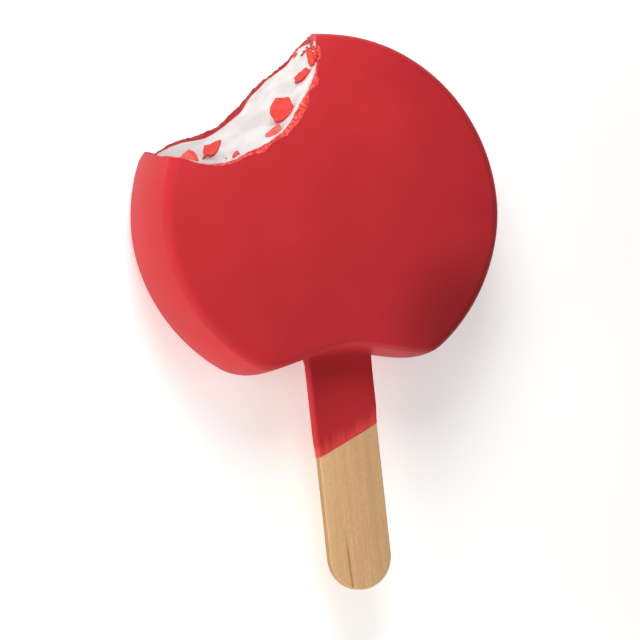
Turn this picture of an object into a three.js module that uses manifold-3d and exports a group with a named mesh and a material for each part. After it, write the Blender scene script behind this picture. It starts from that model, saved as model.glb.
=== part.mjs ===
// Round ice cream bar on a flat wooden stick, dipped in a red coating, with a bite out of its top left.
// Millimetres. The bar lies on its back: +Z leaves the shown face, +Y points to the top of the bar,
// the stick leaves towards -Y, and the origin is the middle of the round body's flat back.
import * as THREE from "three";
import { mergeVertices } from "three/addons/utils/BufferGeometryUtils.js";
import Module from "manifold-3d";

const wasm = await Module();
wasm.setup();

// Round body: a disc with a slightly tapered lower half and a shallow hollow in its foot
const bodyHalfWidth = 35.5;
const bodyThickness = 22;
const upperReach = 35.1;
const upperFullness = 2;
const lowerReach = 34.4;
const lowerFullness = 1.92;
const footDrop = 30.8;
const footHollow = 4.7;
const footHollowWidth = 16.9;
const footBlend = 0.8;
const wallBulge = 1.2;
const edgeRound = 2.4;
const innerEdgeRound = 0.6;
const faceCrown = 1.4;
const crownPower = 3.5;

// Steps round the body and along its section
const outerSteps = { around: 96, arc: 4, wall: 4, face: 6 };
const innerSteps = { around: 64, arc: 2, wall: 3, face: 4 };

// Coating and the clearances between the pieces
const coatThickness = 1.3;
const coreGap = 0.25;
const stickGap = 0.2;

// Flat stick, a little right of the middle, and the coating that runs down it to a slanted dip line
const stickWidth = 12.8;
const stickThickness = 2;
const stickTop = 12;
const stickEnd = -72.3;
const stickSide = 1.4;
const stickMiddle = (bodyThickness - faceCrown) / 2;
const stickEdge = 0.3;
const sleeveFilm = 0.4;
const sleeveCorner = 0.7;
const sleeveFlare = 1.1;
const sleeveFlareReach = 1.4;
const sleeveRootDepth = 3;
const sleeveSpare = 2;
const sleeveSteps = 16;
const dipLineLeft = -46.1;
const dipLineRight = -40.7;

// Bite: its rim is a tight arc on the shown face and a flatter arc on the back
const biteFace = { x: -23.7, y: 33.6, radius: 22.4, from: -135, to: 15 };
const biteBack = { x: -44.2, y: 75.8, radius: 62.7, from: -90, to: -31 };
const biteWiden = 1.033;
const biteWayOut = new THREE.Vector3(-27, 36, 0);
const biteOvershoot = 0.15;
const biteSteps = { along: 76, up: 18 };
const faceTeeth = { depth: 0.32, pitch: 0.233, start: 0.09 };
const backTeeth = { depth: 0.6, pitch: 0.325, start: 0.145 };

// Unevenness of the bitten face: waves along and up it, in radians from end to end
const crumbDepth = 0.16;
const crumbWaves = [
  { along: 34, up: 9, shift: 0, share: 1 },
  { along: 21, up: -16, shift: 1.3, share: 1 },
  { along: 71, up: 37, shift: 0.4, share: 0.6 },
  { along: 55, up: -41, shift: 2.1, share: 0.6 },
];

// Flakes of coating stuck in the bite: places as shares along and up the bitten face, turns in degrees
const flakeThickness = 1;
const flakeLean = 0.55;
const flakeStand = 0.75;
const shownSide = new THREE.Vector3(-0.39, 0, 0.92);
const flakes = [
  { along: 0.615, up: 0.76, length: 5, width: 4.4, turn: 20, sides: 7 },
  { along: 0.536, up: 0.82, length: 3.6, width: 2, turn: 40, sides: 5 },
  { along: 0.75, up: 0.74, length: 3.4, width: 1.8, turn: 35, sides: 5 },
  { along: 0.822, up: 0.79, length: 3.2, width: 1.7, turn: 105, sides: 5 },
  { along: 0.337, up: 0.68, length: 4, width: 2.6, turn: 45, sides: 6 },
  { along: 0.237, up: 0.77, length: 3.8, width: 2.3, turn: 0, sides: 6 },
  { along: 0.383, up: 0.83, length: 1.9, width: 1.1, turn: 55, sides: 5 },
];

const mix = THREE.MathUtils.lerp;

// Smaller of two values, with a smooth change from one to the other
function smoothMin(a, b, blend) {
  const gap = THREE.MathUtils.clamp((a - b) / blend, -40, 40);
  return a - blend * Math.log1p(Math.exp(gap));
}

// Distance from the body's middle to its outline in one direction
function outlineRadius(angle) {
  const across = Math.cos(angle);
  const rise = Math.sin(angle);
  const reach = rise > 0 ? upperReach : lowerReach;
  const fullness = rise > 0 ? upperFullness : lowerFullness;
  const roundPart = Math.abs(across / bodyHalfWidth) ** fullness + Math.abs(rise / reach) ** fullness;
  const round = roundPart ** (-1 / fullness);
  const down = -rise;
  if (down < 0.05) {
    return round;
  }
  const footX = footDrop * across / down;
  const foot = (footDrop - footHollow * Math.exp(-((footX / footHollowWidth) ** 2))) / down;
  return smoothMin(round, foot, footBlend);
}

// Half section from the middle of the back, up the bulging wall and in over the crowned face
function sectionPoints(inset, steps) {
  const halfHeight = (bodyThickness - faceCrown) / 2;
  const round = Math.max(edgeRound - inset, innerEdgeRound);
  const rim = bodyHalfWidth - inset;
  const wallEnd = halfHeight - inset - round;
  const wallRadius = (height) => rim - wallBulge * (height / halfHeight) ** 2;
  const edgeMiddle = wallRadius(wallEnd) - round;
  const points = [new THREE.Vector2(0, inset)];
  for (let i = 0; i <= steps.arc; i += 1) {
    const angle = -Math.PI / 2 * (1 - i / steps.arc);
    points.push(new THREE.Vector2(
      edgeMiddle + round * Math.cos(angle),
      halfHeight - wallEnd + round * Math.sin(angle),
    ));
  }
  for (let i = 1; i < steps.wall; i += 1) {
    const height = wallEnd * (2 * i / steps.wall - 1);
    points.push(new THREE.Vector2(wallRadius(height), halfHeight + height));
  }
  for (let i = 0; i <= steps.arc; i += 1) {
    const angle = Math.PI / 2 * i / steps.arc;
    points.push(new THREE.Vector2(
      edgeMiddle + round * Math.cos(angle),
      halfHeight + wallEnd + round * Math.sin(angle),
    ));
  }
  for (let i = 1; i <= steps.face; i += 1) {
    const share = (1 - i / steps.face) ** 0.7;
    const height = halfHeight + wallEnd + round + faceCrown * (1 - share ** crownPower);
    points.push(new THREE.Vector2(edgeMiddle * share, height));
  }
  return points;
}

// Closed solid of a three.js geometry, and back
function solidOf(geometry) {
  const plain = geometry.clone();
  plain.deleteAttribute("normal");
  plain.deleteAttribute("uv");
  const merged = mergeVertices(plain, 1e-4);
  const mesh = new wasm.Mesh({
    numProp: 3,
    vertProperties: new Float32Array(merged.attributes.position.array),
    triVerts: new Uint32Array(merged.index.array),
  });
  return new wasm.Manifold(mesh);
}

function geometryOf(solid) {
  const mesh = solid.getMesh();
  const geometry = new THREE.BufferGeometry();
  geometry.setAttribute("position", new THREE.BufferAttribute(new Float32Array(mesh.vertProperties), 3));
  geometry.setIndex(new THREE.BufferAttribute(new Uint32Array(mesh.triVerts), 1));
  geometry.computeVertexNormals();
  return geometry;
}

// Moves every vertex of a geometry by a function
function reshape(geometry, move) {
  const place = geometry.attributes.position;
  const point = new THREE.Vector3();
  for (let i = 0; i < place.count; i += 1) {
    point.fromBufferAttribute(place, i);
    move(point);
    place.setXYZ(i, point.x, point.y, point.z);
  }
  return geometry;
}

// Round body, drawn in from its outer surface by an inset
function bodySolid(inset, steps) {
  const lathe = new THREE.LatheGeometry(sectionPoints(inset, steps), steps.around);
  lathe.rotateX(Math.PI / 2);
  const rim = bodyHalfWidth - inset;
  return solidOf(reshape(lathe, (point) => {
    const stretch = (outlineRadius(Math.atan2(point.y, point.x)) - inset) / rim;
    point.x *= stretch;
    point.y *= stretch;
  }));
}

// Point of the bitten face: along runs from its left end to its right end, up from the back to the face
function bitePoint(along, up) {
  const rimPoint = (arc, teeth) => {
    const angle = THREE.MathUtils.degToRad(mix(arc.from, arc.to, along));
    const tooth = teeth.depth * Math.cos(2 * Math.PI * (along - teeth.start) / teeth.pitch);
    const radius = arc.radius + tooth;
    return new THREE.Vector2(arc.x + biteWiden * radius * Math.cos(angle), arc.y + radius * Math.sin(angle));
  };
  const flat = rimPoint(biteBack, backTeeth).lerp(rimPoint(biteFace, faceTeeth), up);
  return new THREE.Vector3(flat.x, flat.y, bodyThickness * up);
}

// Direction out of the ice cream at a point of the bitten face
function biteNormal(along, up) {
  const step = 0.02;
  const sideways = bitePoint(along + step, up).sub(bitePoint(along - step, up));
  const upward = bitePoint(along, up + step).sub(bitePoint(along, up - step));
  return upward.cross(sideways).normalize();
}

// Shallow unevenness that broken ice cream keeps
function crumble(along, up) {
  let height = 0;
  for (const wave of crumbWaves) {
    height += crumbDepth * wave.share * Math.sin(wave.along * along + wave.up * up + wave.shift);
  }
  return height;
}

// Space that the bite takes away: a block whose near face is the bitten face
function biteSolid() {
  const block = new THREE.BoxGeometry(1, 1, 1, biteSteps.along, 1, biteSteps.up);
  return solidOf(reshape(block, (point) => {
    const along = point.x + 0.5;
    const up = mix(-biteOvershoot, 1 + biteOvershoot, point.z + 0.5);
    const near = point.y < 0;
    point.copy(bitePoint(along, up));
    if (near) {
      point.addScaledVector(biteNormal(along, up), crumble(along, up));
    } else {
      point.add(biteWayOut);
    }
  }));
}

// Flat stick with two round ends, grown on every side by a margin
function stickGeometry(margin) {
  const half = stickWidth / 2 + margin;
  const outline = new THREE.Shape();
  outline.absarc(stickSide, stickTop - stickWidth / 2, half - stickEdge, 0, Math.PI, false);
  outline.absarc(stickSide, stickEnd + stickWidth / 2, half - stickEdge, Math.PI, 2 * Math.PI, false);
  const geometry = new THREE.ExtrudeGeometry(outline, {
    depth: stickThickness + 2 * margin - 2 * stickEdge,
    bevelEnabled: true,
    bevelSize: stickEdge,
    bevelThickness: stickEdge,
    bevelSegments: 1,
    curveSegments: 14,
  });
  geometry.translate(0, 0, stickMiddle - stickThickness / 2 - margin + stickEdge);
  return geometry;
}

// Coating round the upper stick: flares into the foot and ends on the dip line
function sleeveSolid() {
  const root = -footDrop + footHollow;
  const top = root + sleeveRootDepth;
  const bottom = Math.min(dipLineLeft, dipLineRight) - sleeveSpare;
  const halfWidth = stickWidth / 2 + stickGap + sleeveFilm;
  const halfThickness = stickThickness / 2 + stickGap + sleeveFilm;
  const corner = halfThickness * sleeveCorner;
  const section = new THREE.Shape();
  section.absarc(halfWidth - corner, halfThickness - corner, corner, 0, Math.PI / 2, false);
  section.absarc(corner - halfWidth, halfThickness - corner, corner, Math.PI / 2, Math.PI, false);
  section.absarc(corner - halfWidth, corner - halfThickness, corner, Math.PI, 1.5 * Math.PI, false);
  section.absarc(halfWidth - corner, corner - halfThickness, corner, 1.5 * Math.PI, 2 * Math.PI, false);
  const sleeve = new THREE.ExtrudeGeometry(section, {
    depth: top - bottom,
    steps: sleeveSteps,
    bevelEnabled: false,
    curveSegments: 3,
  });
  reshape(sleeve, (point) => {
    const below = Math.max(0, root - (top - point.z));
    const flare = sleeveFlare * Math.exp(-below / sleeveFlareReach);
    point.x += Math.sign(point.x) * flare;
    point.y += Math.sign(point.y) * flare;
  });
  sleeve.rotateX(Math.PI / 2);
  sleeve.translate(stickSide, top, stickMiddle);

  const slant = Math.atan2(dipLineRight - dipLineLeft, stickWidth);
  const below = new THREE.BoxGeometry(60, 30, 20);
  below.translate(0, -15, 0);
  below.rotateZ(slant);
  below.translate(stickSide, (dipLineLeft + dipLineRight) / 2, stickMiddle);
  return solidOf(sleeve).subtract(solidOf(below));
}

// One flake: a thin many-sided chip that stands in the bitten face and leans towards the shown side
function flakeSolid(flake) {
  const chip = new THREE.CylinderGeometry(0.5, 0.5, flakeThickness, flake.sides, 1);
  chip.translate(0, -flakeThickness / 2, 0);
  chip.scale(flake.length, 1, flake.width);
  chip.rotateY(THREE.MathUtils.degToRad(flake.turn));
  const normal = biteNormal(flake.along, flake.up);
  const facing = normal.clone().lerp(shownSide, flakeLean).normalize();
  const across = new THREE.Vector3(1, 0, 0);
  across.addScaledVector(facing, -across.dot(facing)).normalize();
  const down = new THREE.Vector3().crossVectors(across, facing);
  const rise = flakeStand * flake.width / 2 * Math.sin(normal.angleTo(facing));
  const placing = new THREE.Matrix4().makeBasis(across, facing, down);
  placing.setPosition(bitePoint(flake.along, flake.up).addScaledVector(normal, rise));
  chip.applyMatrix4(placing);
  return solidOf(chip);
}

const bite = biteSolid();
const hollow = bodySolid(coatThickness, innerSteps);
const stickPassage = solidOf(stickGeometry(stickGap));

const coating = bodySolid(0, outerSteps)
  .subtract(hollow)
  .add(sleeveSolid().subtract(hollow))
  .subtract(stickPassage)
  .subtract(bite);

// Ice cream runs through the body, and the flakes keep inside its whole shape, clear of the coating
const core = bodySolid(coatThickness + coreGap, innerSteps);
let iceCream = core.subtract(stickPassage).subtract(bite);
for (const flake of flakes) {
  iceCream = iceCream.add(flakeSolid(flake).intersect(core));
}

const bar = new THREE.Group();
const pieces = [
  { name: "coating", geometry: geometryOf(coating), color: "#b8343a", roughness: 0.38 },
  { name: "ice_cream", geometry: geometryOf(iceCream), color: "#f1eeec", roughness: 0.75 },
  { name: "stick", geometry: stickGeometry(0), color: "#cfa57a", roughness: 0.7 },
];
for (const { name, geometry, color, roughness } of pieces) {
  const mesh = new THREE.Mesh(geometry, new THREE.MeshStandardMaterial({ color, roughness, metalness: 0 }));
  mesh.name = name;
  bar.add(mesh);
}

export default bar;
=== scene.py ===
import math
import random
import bmesh
import bpy
from mathutils import Matrix, Vector, noise


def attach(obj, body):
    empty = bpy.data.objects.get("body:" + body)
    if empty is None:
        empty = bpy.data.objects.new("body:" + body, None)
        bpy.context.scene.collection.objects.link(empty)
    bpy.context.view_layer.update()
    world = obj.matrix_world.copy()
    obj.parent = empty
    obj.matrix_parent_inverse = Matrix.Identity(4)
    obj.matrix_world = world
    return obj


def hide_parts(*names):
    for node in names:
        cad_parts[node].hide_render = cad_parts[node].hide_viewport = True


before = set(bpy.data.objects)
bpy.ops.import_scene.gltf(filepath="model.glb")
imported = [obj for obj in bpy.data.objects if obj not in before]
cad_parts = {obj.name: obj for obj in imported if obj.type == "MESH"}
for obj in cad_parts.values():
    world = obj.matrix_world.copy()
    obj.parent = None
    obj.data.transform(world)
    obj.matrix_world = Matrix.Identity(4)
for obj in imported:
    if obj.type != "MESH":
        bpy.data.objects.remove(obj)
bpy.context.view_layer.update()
mm = 0.001  # pieces are shaped in millimetres and turned to metres at the end


# Small helpers

def hexColour(code):
    channels = [int(code[i:i + 2], 16) / 255 for i in (1, 3, 5)]
    linear = [c / 12.92 if c <= 0.04045 else ((c + 0.055) / 1.055) ** 2.4 for c in channels]
    return (*linear, 1)


def mix(a, b, share):
    return a + (b - a) * share


def ease(low, high, value):
    share = min(1, max(0, (value - low) / (high - low)))
    return share * share * (3 - 2 * share)


def pieceFrom(bm, name):
    mesh = bpy.data.meshes.new(name)
    bm.to_mesh(mesh)
    bm.free()
    piece = bpy.data.objects.new(name, mesh)
    bpy.context.scene.collection.objects.link(piece)
    return piece


def combine(piece, other, operation):
    modifier = piece.modifiers.new(operation, "BOOLEAN")
    modifier.operation = operation
    modifier.solver = "MANIFOLD"
    modifier.object = other
    graph = bpy.context.evaluated_depsgraph_get()
    result = bpy.data.meshes.new_from_object(piece.evaluated_get(graph))
    piece.modifiers.clear()
    piece.data = result
    bpy.data.objects.remove(other)


def finishPiece(piece, materials, sharpDegrees=40):
    piece.data.transform(Matrix.Scale(mm, 4))
    while len(piece.data.materials) < len(materials):
        piece.data.materials.append(None)
    for index, material in enumerate(materials):
        piece.data.materials[index] = material
    while len(piece.data.materials) > len(materials):
        piece.data.materials.pop()
    piece.data.polygons.foreach_set("use_smooth", [True] * len(piece.data.polygons))
    piece.data.set_sharp_from_angle(angle=math.radians(sharpDegrees))
    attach(piece, "root")
    print("made", piece.name, len(piece.data.polygons), "faces")


# Materials

def newMaterial(name):
    material = bpy.data.materials.new(name)
    material.use_nodes = True
    material.node_tree.nodes.clear()
    return material


def addNode(material, kind, settings=None, links=None):
    tree = material.node_tree
    node = tree.nodes.new(kind)
    for key, value in (settings or {}).items():
        if key == "stops":  # colour ramp: places and hex colours
            while len(node.color_ramp.elements) < len(value):
                node.color_ramp.elements.new(0.5)
            for element, (place, code) in zip(node.color_ramp.elements, value):
                element.position = place
                element.color = hexColour(code)
        elif isinstance(key, int) or key in node.inputs:
            node.inputs[key].default_value = value
        else:
            setattr(node, key, value)
    for key, source in (links or {}).items():
        output = source.outputs[0] if hasattr(source, "outputs") else source
        tree.links.new(output, node.inputs[key])
    return node


# Shape of the bar, in millimetres, as the solids have it

bodyShape = {
    "halfWidth": 35.5, "thickness": 22, "upperReach": 35.1, "upperFullness": 2,
    "lowerReach": 34.4, "lowerFullness": 1.92, "footDrop": 30.8, "footHollow": 4.7,
    "footHollowWidth": 16.9, "footBlend": 0.8, "wallBulge": 1.2, "edgeRound": 2.4,
    "innerEdgeRound": 0.6, "faceCrown": 1.4, "crownPower": 3.5, "coatThickness": 1.3,
}
stickShape = {
    "width": 12.8, "thickness": 2, "top": 12, "end": -72.3, "side": 1.4, "edge": 0.35,
    "middle": (bodyShape["thickness"] - bodyShape["faceCrown"]) / 2,
    "film": 0.28, "filmEnd": 0.08, "filmReach": 4, "flare": 1, "flareReach": 0.9,
    "cornerSteps": 5, "flatSteps": 60, "dipLeft": -46.1, "dipRight": -40.7,
}
biteShape = {
    "face": {"x": -23.7, "y": 33.6, "radius": 22.4, "from": -135, "to": 15,
             "toothDepth": 0.32, "toothPitch": 0.233, "toothStart": 0.09},
    "back": {"x": -44.2, "y": 75.8, "radius": 62.7, "from": -90, "to": -31,
             "toothDepth": 0.6, "toothPitch": 0.325, "toothStart": 0.145},
    "widen": 1.033, "wayOut": (-27, 36, 0), "overshoot": 0.15,
    "liftBack": 2.3, "liftFace": 0.53, "liftUpFrom": 0.02, "liftUpFull": 0.22,
    "liftEnds": 0.27, "liftFull": 0.17, "hornUp": 0.27, "hornHeight": 0.6, "hornWidth": 0.1,
}
bodyFoot = -bodyShape["footDrop"] + bodyShape["footHollow"]  # where the stick leaves the body


def outlineRadius(angle):
    shape = bodyShape
    across = math.cos(angle)
    rise = math.sin(angle)
    reach = shape["upperReach"] if rise > 0 else shape["lowerReach"]
    fullness = shape["upperFullness"] if rise > 0 else shape["lowerFullness"]
    part = abs(across / shape["halfWidth"]) ** fullness + abs(rise / reach) ** fullness
    roundRadius = part ** (-1 / fullness)
    if rise > -0.05:
        return roundRadius
    footX = shape["footDrop"] * across / -rise
    hollow = shape["footHollow"] * math.exp(-(footX / shape["footHollowWidth"]) ** 2)
    footRadius = (shape["footDrop"] - hollow) / -rise
    gap = min(40, max(-40, (roundRadius - footRadius) / shape["footBlend"]))
    return roundRadius - shape["footBlend"] * math.log1p(math.exp(gap))


def barSection(inset, arcSteps, wallSteps, faceSteps):
    shape = bodyShape
    halfHeight = (shape["thickness"] - shape["faceCrown"]) / 2
    edge = max(shape["edgeRound"] - inset, shape["innerEdgeRound"])
    rim = shape["halfWidth"] - inset
    wallEnd = halfHeight - inset - edge
    edgeMiddle = rim - shape["wallBulge"] * (wallEnd / halfHeight) ** 2 - edge
    points = [(edgeMiddle * i / faceSteps, inset) for i in range(faceSteps)]
    for i in range(arcSteps + 1):
        angle = -math.pi / 2 * (1 - i / arcSteps)
        points.append((edgeMiddle + edge * math.cos(angle), halfHeight - wallEnd + edge * math.sin(angle)))
    for i in range(1, wallSteps):
        height = wallEnd * (2 * i / wallSteps - 1)
        points.append((rim - shape["wallBulge"] * (height / halfHeight) ** 2, halfHeight + height))
    for i in range(arcSteps + 1):
        angle = math.pi / 2 * i / arcSteps
        points.append((edgeMiddle + edge * math.cos(angle), halfHeight + wallEnd + edge * math.sin(angle)))
    for i in range(1, faceSteps + 1):
        share = 1 - i / faceSteps
        height = halfHeight + wallEnd + edge + shape["faceCrown"] * (1 - share ** shape["crownPower"])
        points.append((edgeMiddle * share, height))
    return points


def bodyPiece(name, inset, turns, arcSteps, wallSteps, faceSteps):
    bm = bmesh.new()
    last = None
    for radius, height in barSection(inset, arcSteps, wallSteps, faceSteps):
        corner = bm.verts.new((radius, 0, height))
        if last:
            bm.edges.new((last, corner))
        last = corner
    bmesh.ops.spin(bm, geom=bm.verts[:] + bm.edges[:], axis=(0, 0, 1), cent=(0, 0, 0),
                   angle=2 * math.pi, steps=turns, use_merge=True)
    bmesh.ops.remove_doubles(bm, verts=bm.verts, dist=0.001)
    for vert in bm.verts:
        outline = outlineRadius(math.atan2(vert.co.y, vert.co.x))
        stretch = (outline - inset) / (bodyShape["halfWidth"] - inset)
        vert.co.x *= stretch
        vert.co.y *= stretch
    bmesh.ops.recalc_face_normals(bm, faces=bm.faces)
    return pieceFrom(bm, name)


def faceHeight(point):
    outline = outlineRadius(math.atan2(point.y, point.x))
    share = min(1, point.xy.length / (outline - bodyShape["edgeRound"]))
    return bodyShape["thickness"] - bodyShape["faceCrown"] * share ** bodyShape["crownPower"]


# Bitten face: along runs from its left end to its right end, up from the back to the shown face

def rimPoint(arc, along):
    tooth = math.cos(2 * math.pi * (along - arc["toothStart"]) / arc["toothPitch"])
    radius = arc["radius"] + arc["toothDepth"] * tooth
    angle = math.radians(mix(arc["from"], arc["to"], along))
    x = arc["x"] + biteShape["widen"] * radius * math.cos(angle)
    return Vector((x, arc["y"] + radius * math.sin(angle), 0))


def bitePoint(along, up):
    point = rimPoint(biteShape["back"], along).lerp(rimPoint(biteShape["face"], along), up)
    point.z = bodyShape["thickness"] * up
    return point


def biteNormal(along, up):
    sideways = bitePoint(along + 0.02, up) - bitePoint(along - 0.02, up)
    upward = bitePoint(along, up + 0.02) - bitePoint(along, up - 0.02)
    return upward.cross(sideways).normalized()


def leftLift(along, up):  # the bite's left end stands higher than its arc, with a small horn at the outside
    slope = mix(biteShape["liftBack"], biteShape["liftFace"], up)
    horn = biteShape["hornHeight"] * math.exp(-((up - biteShape["hornUp"]) / biteShape["hornWidth"]) ** 2)
    rising = ease(biteShape["liftUpFrom"], biteShape["liftUpFull"], up)
    return (slope + horn) * rising * ease(biteShape["liftEnds"], biteShape["liftFull"], along)


def biteCutter(name, relief, alongSteps, upSteps, materialIndex):
    bm = bmesh.new()
    bmesh.ops.create_grid(bm, x_segments=alongSteps, y_segments=upSteps, size=0.5)
    near = bm.verts[:]
    far = bmesh.ops.extrude_face_region(bm, geom=bm.faces[:])["geom"]
    low = -biteShape["overshoot"]
    high = 1 + biteShape["overshoot"]
    for vert in [item for item in far if isinstance(item, bmesh.types.BMVert)]:
        vert.co = bitePoint(vert.co.x + 0.5, mix(low, high, vert.co.y + 0.5)) + Vector(biteShape["wayOut"])
    for vert in near:
        along = vert.co.x + 0.5
        up = mix(low, high, vert.co.y + 0.5)
        point = bitePoint(along, up)
        vert.co = point + biteNormal(along, up) * relief(point, along, up)
    for face in bm.faces:
        face.material_index = materialIndex
    bmesh.ops.recalc_face_normals(bm, faces=bm.faces)
    if bm.calc_volume(signed=True) < 0:
        bmesh.ops.reverse_faces(bm, faces=bm.faces[:])
    cutter = pieceFrom(bm, name)
    for index in range(2):
        cutter.data.materials.append(bareMaterial)
    return cutter


# Stick and the sleeve of coating on it

def stickPiece(name, margin):
    shape = stickShape
    half = shape["width"] / 2
    bm = bmesh.new()
    bmesh.ops.create_circle(bm, cap_ends=True, segments=72, radius=half + margin)
    for vert in bm.verts:
        middle = shape["top"] - half if vert.co.y > 0.001 else shape["end"] + half
        vert.co.y += middle
        vert.co.x += shape["side"]
        vert.co.z = shape["middle"] - shape["thickness"] / 2 - margin
    top = bmesh.ops.extrude_face_region(bm, geom=bm.faces[:])["geom"]
    raised = [item for item in top if isinstance(item, bmesh.types.BMVert)]
    bmesh.ops.translate(bm, vec=(0, 0, shape["thickness"] + 2 * margin), verts=raised)
    bmesh.ops.recalc_face_normals(bm, faces=bm.faces)
    ends = [edge for edge in bm.edges if abs(edge.verts[0].co.z - edge.verts[1].co.z) < 0.01]
    bmesh.ops.bevel(bm, geom=ends, offset=shape["edge"], affect="EDGES",
                    segments=4, profile=0.5, material=-1)
    return pieceFrom(bm, name)


def dipLine(x):
    share = (x - stickShape["side"]) / stickShape["width"] + 0.5
    brush = 0.16 * noise.noise(Vector((x * 2.1, 3.1, 0))) + 0.1 * noise.noise(Vector((x * 0.6, 8.3, 0)))
    return mix(stickShape["dipLeft"], stickShape["dipRight"], share) + brush


def sleeveSection():  # points round the stick: where each stands on its rounding, and which way it faces
    halfWidth = stickShape["width"] / 2 - stickShape["edge"]
    halfThickness = stickShape["thickness"] / 2 - stickShape["edge"]
    section = []
    for quarter in range(4):
        x = halfWidth if quarter in (0, 3) else -halfWidth
        z = halfThickness if quarter < 2 else -halfThickness
        for i in range(stickShape["cornerSteps"] + 1):
            angle = math.pi / 2 * (quarter + i / stickShape["cornerSteps"])
            section.append((x, z, math.cos(angle), math.sin(angle)))
        if quarter in (0, 2):
            for i in range(1, stickShape["flatSteps"]):
                section.append((mix(x, -x, i / stickShape["flatSteps"]), z, 0, math.copysign(1, z)))
    return section


def sleevePiece(name):
    shape = stickShape
    section = sleeveSection()
    rings = 64
    bm = bmesh.new()
    ring = bmesh.ops.create_circle(bm, segments=len(section), radius=1)["verts"]
    edges = bm.edges[:]
    for step in range(rings + 1):
        for vert, (x, z, faceX, faceZ) in zip(ring, section):
            end = dipLine(shape["side"] + x + faceX * shape["edge"])
            along = mix(bodyFoot + 3, end, step / rings)
            flare = shape["flare"] * math.exp(-max(0, bodyFoot - along) / shape["flareReach"])
            film = mix(shape["filmEnd"], shape["film"], ease(0, shape["filmReach"], along - end))
            reach = shape["edge"] + film + flare
            vert.co = Vector((
                shape["side"] + x + faceX * reach, along, shape["middle"] + z + faceZ * reach))
        if step < rings:
            made = bmesh.ops.extrude_edge_only(bm, edges=edges)["geom"]
            edges = [item for item in made if isinstance(item, bmesh.types.BMEdge)]
            fresh = {item.co.to_tuple(4): item for item in made if isinstance(item, bmesh.types.BMVert)}
            ring = [fresh[vert.co.to_tuple(4)] for vert in ring]
    bmesh.ops.holes_fill(bm, edges=[edge for edge in bm.edges if edge.is_boundary])
    bmesh.ops.recalc_face_normals(bm, faces=bm.faces)
    return pieceFrom(bm, name)


# Red coating: dipped shell with its sleeve on the stick, hollow for the ice cream, broken at the bite

coatingLook = {
    # the pooled red is painted shade at the lower right, partly a thicker pool of coating
    "deep": "#b42a30", "plain": "#bb2d33", "thin": "#e24a48", "pooledCoatAndShade": "#952227",
    "shadePoolPlace": (25, -24, 20), "shadePoolFullMm": 4, "shadePoolReachMm": 20,
    "mottleMm": 14, "peelMm": 1.8, "peelHeightMm": 0.01, "thinReachMm": 4.5,
    "streakMm": 0.7, "streakLengthMm": 12,
    "streakReachMm": 4, "thinStartMm": 1,
}
brokenLook = {
    # deep is painted shade for the broken edge at the back of the bite
    "deep": "#7d151c", "red": "#c0302f", "pale": "#d85248", "frost": "#e58d80",
    "grainMm": 0.6, "grainHeightMm": 0.12, "shadedBelowMm": 4, "paleAboveMm": 20,
}
crumbling = {
    "coarseMm": 3.2, "coarseDepth": 0.22, "fineMm": 0.8, "fineDepth": 0.18,
    "chipAway": 0.95, "chipMm": 3.5, "chipFrom": 0.3, "chipFull": 0.55,
}


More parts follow.
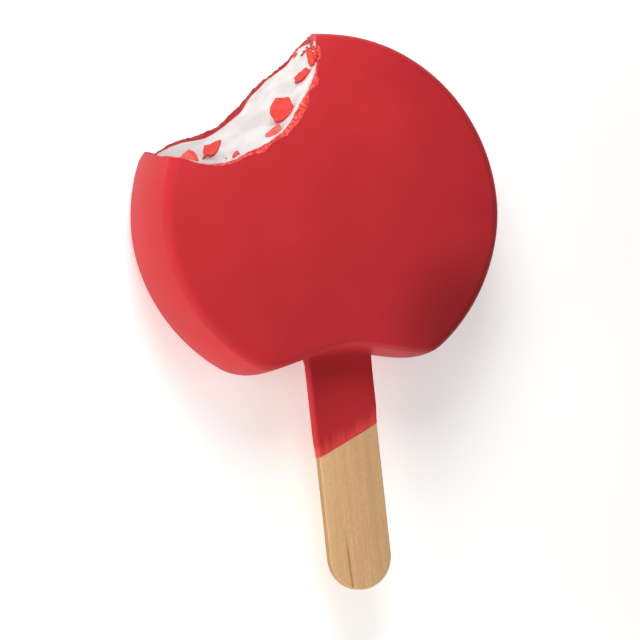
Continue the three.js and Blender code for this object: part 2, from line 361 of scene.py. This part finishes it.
def coatingMaterial():
    # fat-based coating, dipped and set: smooth satin red, darker at the lower right with painted shade
    # (partly a thicker pooled coat), paler by the dip line
    material = newMaterial("dipped_red_coating")
    place = addNode(material, "ShaderNodeTexCoord").outputs["Object"]
    mottle = addNode(material, "ShaderNodeTexNoise",
                     {"Scale": 1 / (coatingLook["mottleMm"] * mm), "Detail": 2.0}, {"Vector": place})
    even = addNode(material, "ShaderNodeValToRGB",
                   {"stops": [(0.35, coatingLook["deep"]), (0.65, coatingLook["plain"])]}, {"Fac": mottle})
    # painted shade: round a spot at the lower right the red turns to the darker pooled colour, partly a
    # thicker pool of coating
    shadePoolPlace = [value * mm for value in coatingLook["shadePoolPlace"]]
    apart = addNode(material, "ShaderNodeVectorMath",
                    {"operation": "DISTANCE", 1: shadePoolPlace}, {0: place}).outputs["Value"]
    shadePool = addNode(material, "ShaderNodeMapRange", {
        "interpolation_type": "SMOOTHSTEP", "From Min": coatingLook["shadePoolFullMm"] * mm,
        "From Max": coatingLook["shadePoolReachMm"] * mm, "To Min": 1.0, "To Max": 0.0}, {"Value": apart})
    body = addNode(material, "ShaderNodeMix", {"data_type": "RGBA", 7: hexColour(coatingLook["pooledCoatAndShade"])},
                   {0: shadePool, 6: even}).outputs[2]
    slope = (stickShape["dipRight"] - stickShape["dipLeft"]) / stickShape["width"]
    lineMiddle = (stickShape["dipRight"] + stickShape["dipLeft"]) / 2 - slope * stickShape["side"]
    level = addNode(material, "ShaderNodeVectorMath",
                    {"operation": "DOT_PRODUCT", 1: (-slope, 1, 0)}, {0: place}).outputs["Value"]
    fine = 1 / (coatingLook["streakMm"] * mm)
    lengthways = 1 / (coatingLook["streakLengthMm"] * mm)
    brush = addNode(material, "ShaderNodeMapping", {"Scale": (fine, lengthways, fine)}, {"Vector": place})
    streak = addNode(material, "ShaderNodeTexNoise", {"Scale": 1.0, "Detail": 2.0}, {"Vector": brush})
    reach = addNode(material, "ShaderNodeMath",
                    {"operation": "MULTIPLY", 1: coatingLook["streakReachMm"] * mm}, {0: streak})
    height = addNode(material, "ShaderNodeMath", {"operation": "ADD"}, {0: level, 1: reach})
    thinStart = lineMiddle + coatingLook["thinStartMm"]
    thinness = addNode(material, "ShaderNodeMapRange", {
        "interpolation_type": "SMOOTHSTEP", "From Min": thinStart * mm,
        "From Max": (thinStart + coatingLook["thinReachMm"]) * mm, "To Min": 1.0, "To Max": 0.0},
        {"Value": height})
    colour = addNode(material, "ShaderNodeMix", {"data_type": "RGBA", 7: hexColour(coatingLook["thin"])},
                     {0: thinness, 6: body}).outputs[2]
    peel = addNode(material, "ShaderNodeTexNoise",
                   {"Scale": 1 / (coatingLook["peelMm"] * mm), "Detail": 2.0}, {"Vector": place})
    satin = addNode(material, "ShaderNodeMapRange", {"To Min": 0.44, "To Max": 0.52}, {"Value": mottle})
    bump = addNode(material, "ShaderNodeBump",
                   {"Strength": 0.5, "Distance": coatingLook["peelHeightMm"] * mm}, {"Height": peel})
    shader = addNode(material, "ShaderNodeBsdfPrincipled", {"IOR": 1.46, "Specular IOR Level": 0.1},
                     {"Base Color": colour, "Roughness": satin, "Normal": bump})
    addNode(material, "ShaderNodeOutputMaterial", None, {"Surface": shader})
    return material


def brokenCoatingMaterial():
    # snapped edge of the coating: matte red with paler grains, frosted where it meets the shown face, darker
    # towards the back of the bar with painted shade
    material = newMaterial("broken_red_coating")
    place = addNode(material, "ShaderNodeTexCoord").outputs["Object"]
    grain = addNode(material, "ShaderNodeTexNoise",
                    {"Scale": 1 / (brokenLook["grainMm"] * mm), "Detail": 4.0}, {"Vector": place})
    # painted shade: the broken edge at the back of the bar takes the dark deep red, fading by height to the
    # frosted colours at the shown face
    paintedShadeSide = addNode(material, "ShaderNodeValToRGB",
                        {"stops": [(0.4, brokenLook["deep"]), (0.68, brokenLook["red"])]}, {"Fac": grain})
    shownSide = addNode(material, "ShaderNodeValToRGB", {"stops": [
        (0.4, brokenLook["red"]), (0.58, brokenLook["pale"]), (0.72, brokenLook["frost"])]}, {"Fac": grain})
    height = addNode(material, "ShaderNodeSeparateXYZ", None, {"Vector": place}).outputs["Z"]
    shown = addNode(material, "ShaderNodeMapRange", {
        "From Min": brokenLook["shadedBelowMm"] * mm, "From Max": brokenLook["paleAboveMm"] * mm},
        {"Value": height})
    colour = addNode(material, "ShaderNodeMix", {"data_type": "RGBA"},
                     {0: shown, 6: paintedShadeSide, 7: shownSide}).outputs[2]
    bump = addNode(material, "ShaderNodeBump",
                   {"Strength": 0.8, "Distance": brokenLook["grainHeightMm"] * mm}, {"Height": grain})
    shader = addNode(material, "ShaderNodeBsdfPrincipled",
                     {"IOR": 1.46, "Roughness": 0.7, "Specular IOR Level": 0.3},
                     {"Base Color": colour, "Normal": bump})
    addNode(material, "ShaderNodeOutputMaterial", None, {"Surface": shader})
    return material


def coatRelief(point, along, up):
    coarse = noise.noise(point / crumbling["coarseMm"]) * crumbling["coarseDepth"]
    fine = noise.noise(point / crumbling["fineMm"] + Vector((7, 1, 3))) * crumbling["fineDepth"]
    depth = faceHeight(point) - point.z
    patchy = ease(-0.35, 0.45, noise.noise(point / crumbling["chipMm"] + Vector((3, 9, 4))))
    chip = crumbling["chipAway"] * patchy * ease(crumbling["chipFrom"], crumbling["chipFull"], along)
    chip *= ease(bodyShape["coatThickness"], 0, depth)
    return coarse + fine - chip + leftLift(along, up)


def roundRoot(piece):
    bm = bmesh.new()
    bm.from_mesh(piece.data)
    halfWidth = stickShape["width"] / 2 + 4
    halfThickness = stickShape["thickness"] / 2 + 4
    near = [vert for vert in bm.verts
            if bodyFoot - 2.5 < vert.co.y < bodyFoot + 2
            and abs(vert.co.x - stickShape["side"]) < halfWidth
            and abs(vert.co.z - stickShape["middle"]) < halfThickness]
    for i in range(5):
        bmesh.ops.smooth_vert(bm, verts=near, factor=0.5, use_axis_x=True, use_axis_y=True, use_axis_z=True)
    bm.to_mesh(piece.data)
    bm.free()


bareMaterial = bpy.data.materials.new("bare")
coating = bodyPiece("red_coating", 0, 360, 10, 24, 26)
combine(coating, sleevePiece("sleeve"), "UNION")
roundRoot(coating)
combine(coating, bodyPiece("hollow", bodyShape["coatThickness"], 160, 4, 8, 8), "DIFFERENCE")
combine(coating, stickPiece("passage", 0.03), "DIFFERENCE")
for index in range(2):
    coating.data.materials.append(bareMaterial)
combine(coating, biteCutter("coat_bite", coatRelief, 420, 130, 1), "DIFFERENCE")
brokenCoating = brokenCoatingMaterial()
finishPiece(coating, [coatingMaterial(), brokenCoating])
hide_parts("coating")


# Ice cream: runs through the whole body, bitten smooth with soft ridges

iceLook = {
    # the grey mixed in towards the left end is painted shade
    "shade": "#bfbaba", "white": "#cecbca", "leftShade": "#a39a99", "leftShadeFrom": -17, "leftShadeTo": -31, "leftShadeShare": 0.75,
    "patchMm": 6,
    "crystalMm": 0.6, "crystalHeightMm": 0.04,
}
creamRelief = {
    "broadMm": 8, "broadDepth": 0.5, "ridgeMm": 2.8, "ridgeDepth": 0.16, "grainMm": 0.9, "grainDepth": 0.05,
    "backRecess": 0.7, "backReach": 0.16, "backFull": 0.04,
    "recessFades": 0.74, "recessEnds": 0.86, "leftShare": 0.75,
}


def iceCreamMaterial():
    # frozen vanilla cream, bitten through: soft matte white, fine crystals, greyer towards the left end with
    # painted shade
    material = newMaterial("vanilla_ice_cream")
    place = addNode(material, "ShaderNodeTexCoord").outputs["Object"]
    patch = addNode(material, "ShaderNodeTexNoise",
                    {"Scale": 1 / (iceLook["patchMm"] * mm), "Detail": 4.0}, {"Vector": place})
    cream = addNode(material, "ShaderNodeValToRGB",
                    {"stops": [(0.38, iceLook["shade"]), (0.58, iceLook["white"])]}, {"Fac": patch})
    # painted shade: grey is mixed in towards the bar's left end, where the bitten face lies in shade
    side = addNode(material, "ShaderNodeSeparateXYZ", None, {"Vector": place}).outputs["X"]
    leftShade = addNode(material, "ShaderNodeMapRange", {
        "From Min": iceLook["leftShadeFrom"] * mm, "From Max": iceLook["leftShadeTo"] * mm,
        "To Max": iceLook["leftShadeShare"]}, {"Value": side})
    colour = addNode(material, "ShaderNodeMix", {"data_type": "RGBA", 7: hexColour(iceLook["leftShade"])},
                     {0: leftShade, 6: cream}).outputs[2]
    crystal = addNode(material, "ShaderNodeTexNoise",
                      {"Scale": 1 / (iceLook["crystalMm"] * mm), "Detail": 3.0}, {"Vector": place})
    bump = addNode(material, "ShaderNodeBump",
                   {"Strength": 0.5, "Distance": iceLook["crystalHeightMm"] * mm}, {"Height": crystal})
    shader = addNode(material, "ShaderNodeBsdfPrincipled",
                     {"IOR": 1.35, "Roughness": 0.65, "Specular IOR Level": 0.3, "Subsurface Weight": 0.25,
                      "Subsurface Scale": 1.5 * mm, "Subsurface Radius": (1, 0.9, 0.85)},
                     {"Base Color": colour, "Normal": bump})
    addNode(material, "ShaderNodeOutputMaterial", None, {"Surface": shader})
    return material


def iceRelief(point, along, up):
    broad = noise.noise(point / creamRelief["broadMm"] + Vector((2, 5, 1))) * creamRelief["broadDepth"]
    ridge = noise.noise(point / creamRelief["ridgeMm"]) * creamRelief["ridgeDepth"]
    grain = noise.noise(point / creamRelief["grainMm"]) * creamRelief["grainDepth"]
    waver = 0.3 + 0.9 * noise.noise(Vector((along * 11, 4.7, 0)))
    recess = creamRelief["backRecess"] * max(0, waver)
    recess *= ease(creamRelief["backReach"], creamRelief["backFull"], up)
    recess *= ease(creamRelief["recessEnds"], creamRelief["recessFades"], along)
    return broad + ridge + grain - recess + creamRelief["leftShare"] * leftLift(along, up)


iceCream = bodyPiece("ice_cream_core", bodyShape["coatThickness"] + 0.02, 160, 4, 8, 8)
combine(iceCream, stickPiece("slot", 0.03), "DIFFERENCE")
combine(iceCream, biteCutter("ice_bite", iceRelief, 300, 100, 0), "DIFFERENCE")
finishPiece(iceCream, [iceCreamMaterial()])
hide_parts("ice_cream")


# Flakes of coating that stand in the bitten face, leaning towards the shown side

flakeLook = {
    "red": "#cb352f", "light": "#d2443c", "salmon": "#d9645b", "grainMm": 1.1, "grainHeightMm": 0.06,
}
flakeShape = {
    "thickness": 1, "edge": 0.08, "stand": 1.05, "rough": 0.07, "seed": 5,
    "shownSide": (-0.39, 0, 0.92), "sideways": (0.92, -0.11, 0.39),
}
flakes = [  # corners in millimetres from the flake's middle, tint from red 0 to salmon 1
    {"along": 0.615, "up": 0.79, "lean": 0.6, "tint": 0.1, "corners": [
        (-1.1, 2.3), (1.4, 2.2), (2.3, 0.4), (1.9, -1.2), (0.1, -2.5),
        (-1.3, -2.5), (-2.2, -0.9), (-2.3, 0.4)]},
    {"along": 0.536, "up": 0.861, "lean": 0.5, "tint": 0.9, "corners": [
        (1.2, 1.6), (1.6, 0.6), (1.1, -0.8), (0.4, -1.3), (-0.6, -1.3),
        (-1.5, -0.9), (-1.5, -0.5), (-0.1, 0.6)]},
    {"along": 0.75, "up": 0.732, "lean": 0.6, "tint": 0.1, "corners": [
        (0.7, 1.4), (1.4, 1), (1.6, 0.4), (1.1, -0.2), (-0.8, -1.2),
        (-1.6, -1.4), (-1.6, -0.4), (-0.7, 0.5)]},
    {"along": 0.827, "up": 0.897, "lean": 0.6, "tint": 0.2, "corners": [
        (-0.9, 1.6), (0, 1.3), (0.7, 0.3), (0.9, -0.7), (0.6, -1.4),
        (-0.1, -1.7), (-0.5, -0.9), (-0.7, 0.2)]},
    {"along": 0.792, "up": 0.162, "lean": 0.5, "tint": 0.3, "corners": [
        (-0.4, 0.8), (0, 0.5), (0.5, 0.2), (0.2, -0.3), (-0.1, -0.8), (-0.5, -0.4)]},
    {"along": 0.337, "up": 0.681, "lean": 0.7, "tint": 0.2, "corners": [
        (1.8, 1.9), (1.8, 1.3), (1.1, -0.3), (0.4, -1.2), (-0.3, -1.4), (-0.6, -1.1), (-1.7, -2.2),
        (-1.3, -1.2), (-1.6, -0.6), (-1.3, 0.7), (-0.1, 1), (0.8, 1.5)]},
    {"along": 0.235, "up": 0.804, "lean": 0.7, "tint": 0.7, "corners": [
        (0, 1.4), (1.2, 0.9), (1.7, 0), (1.9, -0.9), (0.7, -1), (-2, -0.7), (-1.1, 0.4)]},
    {"along": 0.383, "up": 0.896, "lean": 0.6, "tint": 0.6, "corners": [
        (0.5, 0.9), (0.6, 0.4), (0.2, -0.1), (-0.2, -0.8), (-0.6, -0.8), (-0.6, -0.1), (-0.1, 0.6)]},
    {"along": 0.357, "up": 0.846, "lean": 0.5, "tint": 0.5, "corners": [
        (-0.3, 0.3), (0.4, -0.1), (0, -0.2)]},
    {"along": 0.408, "up": 0.97, "lean": 0.5, "tint": 0.4, "corners": [
        (0, 0.3), (0.2, -0.1), (-0.2, -0.2)]},
    {"along": 0.437, "up": 0.96, "lean": 0.5, "tint": 0.3, "corners": [
        (-0.4, -0.1), (0.4, 0.2), (0.2, -0.1)]},
    {"along": 0.236, "up": 0.285, "lean": 0.5, "tint": 0.1, "corners": [
        (-1.2, 0), (-0.4, 0.3), (1.2, 0.2), (0.9, -0.1), (-0.5, -0.2)]},
]


def flakeMaterial():
    # chips of the set coating seen on their broken faces: matte lighter red, some frosted to salmon
    material = newMaterial("coating_flake")
    place = addNode(material, "ShaderNodeTexCoord").outputs["Object"]
    grain = addNode(material, "ShaderNodeTexNoise",
                    {"Scale": 1 / (flakeLook["grainMm"] * mm), "Detail": 4.0}, {"Vector": place})
    plain = addNode(material, "ShaderNodeValToRGB",
                    {"stops": [(0.4, flakeLook["red"]), (0.7, flakeLook["light"])]}, {"Fac": grain})
    frosted = addNode(material, "ShaderNodeValToRGB",
                      {"stops": [(0.35, flakeLook["light"]), (0.6, flakeLook["salmon"])]}, {"Fac": grain})
    tint = addNode(material, "ShaderNodeAttribute", {"attribute_name": "tint"}).outputs["Fac"]
    colour = addNode(material, "ShaderNodeMix", {"data_type": "RGBA"},
                     {0: tint, 6: plain, 7: frosted}).outputs[2]
    bump = addNode(material, "ShaderNodeBump",
                   {"Strength": 0.5, "Distance": flakeLook["grainHeightMm"] * mm}, {"Height": grain})
    shader = addNode(material, "ShaderNodeBsdfPrincipled",
                     {"IOR": 1.46, "Roughness": 0.6, "Specular IOR Level": 0.25},
                     {"Base Color": colour, "Normal": bump})
    addNode(material, "ShaderNodeOutputMaterial", None, {"Surface": shader})
    return material


def addFlake(bm, tintLayer, flake, draw):
    outward = biteNormal(flake["along"], flake["up"])
    facing = outward.lerp(Vector(flakeShape["shownSide"]), flake["lean"]).normalized()
    across = Vector(flakeShape["sideways"])
    across = (across - facing * across.dot(facing)).normalized()
    upward = facing.cross(across)
    heights = [y for x, y in flake["corners"]]
    rise = flakeShape["stand"] * (max(heights) - min(heights)) / 2 * math.sin(outward.angle(facing))
    middle = bitePoint(flake["along"], flake["up"]) + outward * rise
    chip = bmesh.new()
    chip.faces.new([chip.verts.new((x, y, 0)) for x, y in flake["corners"]])
    bmesh.ops.subdivide_edges(chip, edges=chip.edges[:], cuts=2)
    for vert in chip.verts:
        vert.co.x += draw.uniform(-1, 1) * flakeShape["rough"]
        vert.co.y += draw.uniform(-1, 1) * flakeShape["rough"]
    made = bmesh.ops.extrude_face_region(chip, geom=chip.faces[:])["geom"]
    raised = [item for item in made if isinstance(item, bmesh.types.BMVert)]
    bmesh.ops.translate(chip, vec=(0, 0, flakeShape["thickness"]), verts=raised)
    bmesh.ops.translate(chip, vec=(0, 0, -flakeShape["thickness"]), verts=chip.verts[:])
    bmesh.ops.recalc_face_normals(chip, faces=chip.faces)
    rim = [edge for edge in chip.edges if all(vert.co.z > -0.01 for vert in edge.verts)]
    bmesh.ops.bevel(chip, geom=rim, offset=flakeShape["edge"], affect="EDGES", segments=2, profile=0.5,
                    material=-1, clamp_overlap=True)
    turn = Matrix((across, upward, facing)).transposed().to_4x4()
    bmesh.ops.transform(chip, matrix=Matrix.Translation(middle) @ turn, verts=chip.verts[:])
    mesh = bpy.data.meshes.new("chip")
    chip.to_mesh(mesh)
    chip.free()
    known = len(bm.verts)
    bm.from_mesh(mesh)
    bpy.data.meshes.remove(mesh)
    bm.verts.ensure_lookup_table()
    for vert in bm.verts[known:]:
        vert[tintLayer] = flake["tint"]


bm = bmesh.new()
tintLayer = bm.verts.layers.float.new("tint")
draw = random.Random(flakeShape["seed"])
for flake in flakes:
    addFlake(bm, tintLayer, flake, draw)
coatingFlakes = pieceFrom(bm, "coating_flakes")
finishPiece(coatingFlakes, [flakeMaterial()])
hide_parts("ice_cream")


# Crumbs of coating along the broken rim

crumbShape = {
    "seed": 11, "small": 0.06, "large": 0.2,
    "rimCount": 170, "cornerCount": 90, "backCount": 40, "creamCount": 30,
}


def addCrumb(bm, point, size, draw):
    made = bmesh.ops.create_icosphere(bm, subdivisions=1, radius=size)["verts"]
    stretch = Vector((draw.uniform(0.7, 1.4), draw.uniform(0.7, 1.4), draw.uniform(0.7, 1.2)))
    for vert in made:
        vert.co = point + vert.co * stretch * draw.uniform(0.8, 1.2)


def crumbPoint(along, depth, relief):
    rim = faceHeight(bitePoint(along, 1))
    up = (rim - depth) / bodyShape["thickness"]
    point = bitePoint(along, up)
    return point + biteNormal(along, up) * relief(point, along, up)


bm = bmesh.new()
draw = random.Random(crumbShape["seed"])
for i in range(crumbShape["rimCount"]):
    along = draw.triangular(0.3, 0.86, 0.72)
    point = crumbPoint(along, draw.uniform(0.05, bodyShape["coatThickness"]), coatRelief)
    addCrumb(bm, point, draw.uniform(crumbShape["small"], crumbShape["large"]), draw)
for i in range(crumbShape["cornerCount"]):
    along = draw.triangular(0.8, 0.868, 0.862)
    point = crumbPoint(along, draw.uniform(0.6, 14), iceRelief)
    addCrumb(bm, point, draw.uniform(crumbShape["small"], 2 * crumbShape["large"]), draw)
for i in range(crumbShape["backCount"]):
    along = draw.uniform(0.25, 0.75)
    up = draw.uniform(0.4, 1) * bodyShape["coatThickness"] / bodyShape["thickness"]
    point = bitePoint(along, up)
    point += biteNormal(along, up) * coatRelief(point, along, up)
    addCrumb(bm, point, draw.uniform(crumbShape["small"], crumbShape["large"]), draw)
for i in range(crumbShape["creamCount"]):
    along = draw.uniform(0.3, 0.85)
    point = crumbPoint(along, draw.uniform(1.5, 5), iceRelief)
    addCrumb(bm, point, draw.uniform(0.5, 1) * crumbShape["small"], draw)
coatingCrumbs = pieceFrom(bm, "coating_crumbs")
# crumbs take the broken coating's colours, the painted shade at the back included
finishPiece(coatingCrumbs, [brokenCoating])
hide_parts("coating")


# Wooden stick

woodLook = {
    "dark": "#d0a678", "plain": "#dbaf80", "pale": "#e3b98b", "streak": "#a9683c", "edge": "#a9855c",
    "fleckMm": 0.28, "fleckLengthMm": 0.8,
    "grainMm": 0.7, "grainLengthMm": 30, "figureMm": 3, "figureLengthMm": 60,
    "streakX": -1.2, "streakSlope": -0.03, "streakTop": -58, "streakEnd": -72, "streakHalf": 0.42,
    "streakFull": 0.6, "streakShare": 0.85,
}


def woodMaterial():
    # birch veneer, die cut and tumbled: dry and pale, short flecks, faint long grain, one brown streak
    look = woodLook
    material = newMaterial("birch_stick")
    place = addNode(material, "ShaderNodeTexCoord").outputs["Object"]
    layers = {}
    # flecks are drawn coarser than real pores, which are too fine to see here
    for name, detail in (("fleck", 2.0), ("grain", 2.0), ("figure", 3.0)):
        across = 1 / (look[name + "Mm"] * mm)
        lengthways = 1 / (look[name + "LengthMm"] * mm)
        stretched = addNode(material, "ShaderNodeMapping",
                            {"Scale": (across, lengthways, across)}, {"Vector": place})
        layers[name] = addNode(material, "ShaderNodeTexNoise",
                               {"Scale": 1.0, "Detail": detail}, {"Vector": stretched})
    lines = addNode(material, "ShaderNodeMix", {0: 0.45}, {2: layers["fleck"], 3: layers["grain"]})
    tone = addNode(material, "ShaderNodeMix", {0: 0.35}, {2: lines, 3: layers["figure"]})
    wood = addNode(material, "ShaderNodeValToRGB", {"stops": [
        (0.38, look["dark"]), (0.5, look["plain"]), (0.6, look["pale"])]}, {"Fac": tone})
    axes = addNode(material, "ShaderNodeSeparateXYZ", None, {"Vector": place})
    level = addNode(material, "ShaderNodeVectorMath", {
        "operation": "DOT_PRODUCT", 1: (1, -look["streakSlope"], 0)}, {0: place}).outputs["Value"]
    middle = (look["streakX"] - look["streakSlope"] * (look["streakTop"] + look["streakEnd"]) / 2) * mm
    offset = addNode(material, "ShaderNodeMath", {"operation": "SUBTRACT", 1: middle}, {0: level})
    distance = addNode(material, "ShaderNodeMath", {"operation": "ABSOLUTE"}, {0: offset})
    band = addNode(material, "ShaderNodeMapRange", {
        "interpolation_type": "SMOOTHSTEP", "From Min": 0.0, "From Max": look["streakHalf"] * mm,
        "To Min": 1.0, "To Max": 0.0}, {"Value": distance})
    fade = addNode(material, "ShaderNodeMapRange", {
        "interpolation_type": "SMOOTHSTEP", "From Min": look["streakTop"] * mm,
        "From Max": mix(look["streakTop"], look["streakEnd"], look["streakFull"]) * mm,
        "To Min": 0.0, "To Max": look["streakShare"]}, {"Value": axes.outputs["Y"]})
    broken = addNode(material, "ShaderNodeMapRange", {"From Min": 0.3, "From Max": 0.55, "To Min": 0.4},
                     {"Value": layers["fleck"]})
    shaped = addNode(material, "ShaderNodeMath", {"operation": "MULTIPLY"}, {0: band, 1: fade})
    strength = addNode(material, "ShaderNodeMath", {"operation": "MULTIPLY"}, {0: shaped, 1: broken})
    marked = addNode(material, "ShaderNodeMix", {"data_type": "RGBA", 7: hexColour(look["streak"])},
                     {0: strength, 6: wood}).outputs[2]
    facing = addNode(material, "ShaderNodeNewGeometry").outputs["True Normal"]
    rise = addNode(material, "ShaderNodeSeparateXYZ", None, {"Vector": facing}).outputs["Z"]
    flat = addNode(material, "ShaderNodeMath", {"operation": "ABSOLUTE"}, {0: rise})
    cut = addNode(material, "ShaderNodeMapRange", {"From Min": 0.9, "From Max": 0.3}, {"Value": flat})
    colour = addNode(material, "ShaderNodeMix", {"data_type": "RGBA", 7: hexColour(look["edge"])},
                     {0: cut, 6: marked}).outputs[2]
    bump = addNode(material, "ShaderNodeBump", {"Strength": 0.4, "Distance": 0.03 * mm}, {"Height": tone})
    shader = addNode(material, "ShaderNodeBsdfPrincipled",
                     {"IOR": 1.5, "Roughness": 0.7, "Specular IOR Level": 0.25},
                     {"Base Color": colour, "Normal": bump})
    addNode(material, "ShaderNodeOutputMaterial", None, {"Surface": shader})
    return material


stick = stickPiece("wood_stick", 0)
finishPiece(stick, [woodMaterial()])
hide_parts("stick")


# Floor, lights and camera

viewPoint = {
    "yaw": 23, "roll": 6.2, "target": (-1.66, -19.85, 11), "distance": 800, "frameWidth": 122.9,
}
studio = {
    "floor": "#f4f3f2", "floorShade": "#f1f0ef", "floorGlow": 0.35, "world": 0.02,
    "lights": [  # places and sizes in millimetres, powers in watts
        {"name": "left_softbox", "place": (-280, -20, 90),
         "size": 200, "power": 0.44, "colour": "#fffaf0"},
        {"name": "lower_left_softbox", "place": (-200, -200, 80),
         "size": 160, "power": 0.25, "colour": "#fffaf0"},
        {"name": "upper_softbox", "place": (-40, 260, 160),
         "size": 160, "power": 0.25, "colour": "#ffffff"},
        {"name": "near_softbox", "place": (-30, 90, 130),
         "size": 90, "power": 0.16, "colour": "#ffffff"},
        {"name": "overhead_softbox", "place": (-40, 20, 400),
         "size": 300, "power": 0.2, "colour": "#ffffff"},
        {"name": "floor_wash", "place": (250, -120, 300),
         "size": 300, "power": 0.24, "colour": "#ffffff"},
        {"name": "foot_fill", "place": (20, -190, 28),
         "size": 60, "power": 0.09, "colour": "#ffffff"},
    ],
}


def floorMaterial():
    # matte white light table: faintly lit from below so shadows stay soft
    material = newMaterial("white_light_table")
    place = addNode(material, "ShaderNodeTexCoord").outputs["Object"]
    tone = addNode(material, "ShaderNodeTexNoise", {"Scale": 20.0, "Detail": 2.0}, {"Vector": place})
    colour = addNode(material, "ShaderNodeValToRGB",
                     {"stops": [(0.3, studio["floorShade"]), (0.7, studio["floor"])]}, {"Fac": tone})
    shader = addNode(material, "ShaderNodeBsdfPrincipled",
                     {"Roughness": 0.8, "Emission Color": hexColour("#ffffff"),
                      "Emission Strength": studio["floorGlow"]}, {"Base Color": colour})
    addNode(material, "ShaderNodeOutputMaterial", None, {"Surface": shader})
    return material


def addLight(source):
    light = bpy.data.lights.new(source["name"], "AREA")
    light.shape = "DISK"
    light.size = source["size"] * mm
    light.energy = source["power"]
    light.color = hexColour(source["colour"])[:3]
    lamp = bpy.data.objects.new(source["name"], light)
    bpy.context.scene.collection.objects.link(lamp)
    lamp.location = Vector(source["place"]) * mm
    aim = Vector((0, 0, bodyShape["thickness"] / 2 * mm)) - lamp.location
    lamp.rotation_euler = aim.to_track_quat("-Z", "Y").to_euler()


bm = bmesh.new()
bmesh.ops.create_grid(bm, x_segments=4, y_segments=4, size=1500)
bmesh.ops.translate(bm, vec=(0, 0, -0.05), verts=bm.verts)
floor = pieceFrom(bm, "floor")
floor.data.transform(Matrix.Scale(mm, 4))
floor.data.materials.append(floorMaterial())

world = bpy.data.worlds.new("studio")
world.use_nodes = True
world.node_tree.nodes["Background"].inputs["Color"].default_value = (1, 1, 1, 1)
world.node_tree.nodes["Background"].inputs["Strength"].default_value = studio["world"]
bpy.context.scene.world = world
bpy.context.scene.view_settings.view_transform = "Standard"
for source in studio["lights"]:
    addLight(source)

yaw = math.radians(viewPoint["yaw"])
roll = math.radians(viewPoint["roll"])
across = Vector((math.cos(yaw), 0, math.sin(yaw)))
along = Vector((0, 1, 0))
back = across.cross(along)
right = across * math.cos(roll) - along * math.sin(roll)
above = across * math.sin(roll) + along * math.cos(roll)
lens = bpy.data.cameras.new("camera")
lens.sensor_width = 36
lens.lens = 36 * viewPoint["distance"] / viewPoint["frameWidth"]
lens.clip_start = 0.05
lens.clip_end = 20
camera = bpy.data.objects.new("camera", lens)
bpy.context.scene.collection.objects.link(camera)
turn = Matrix((right, above, back)).transposed().to_4x4()
cameraPlace = (Vector(viewPoint["target"]) + back * viewPoint["distance"]) * mm
camera.matrix_world = Matrix.Translation(cameraPlace) @ turn
bpy.context.scene.camera = camera
print("studio and camera set")

bpy.data.materials.remove(bareMaterial)
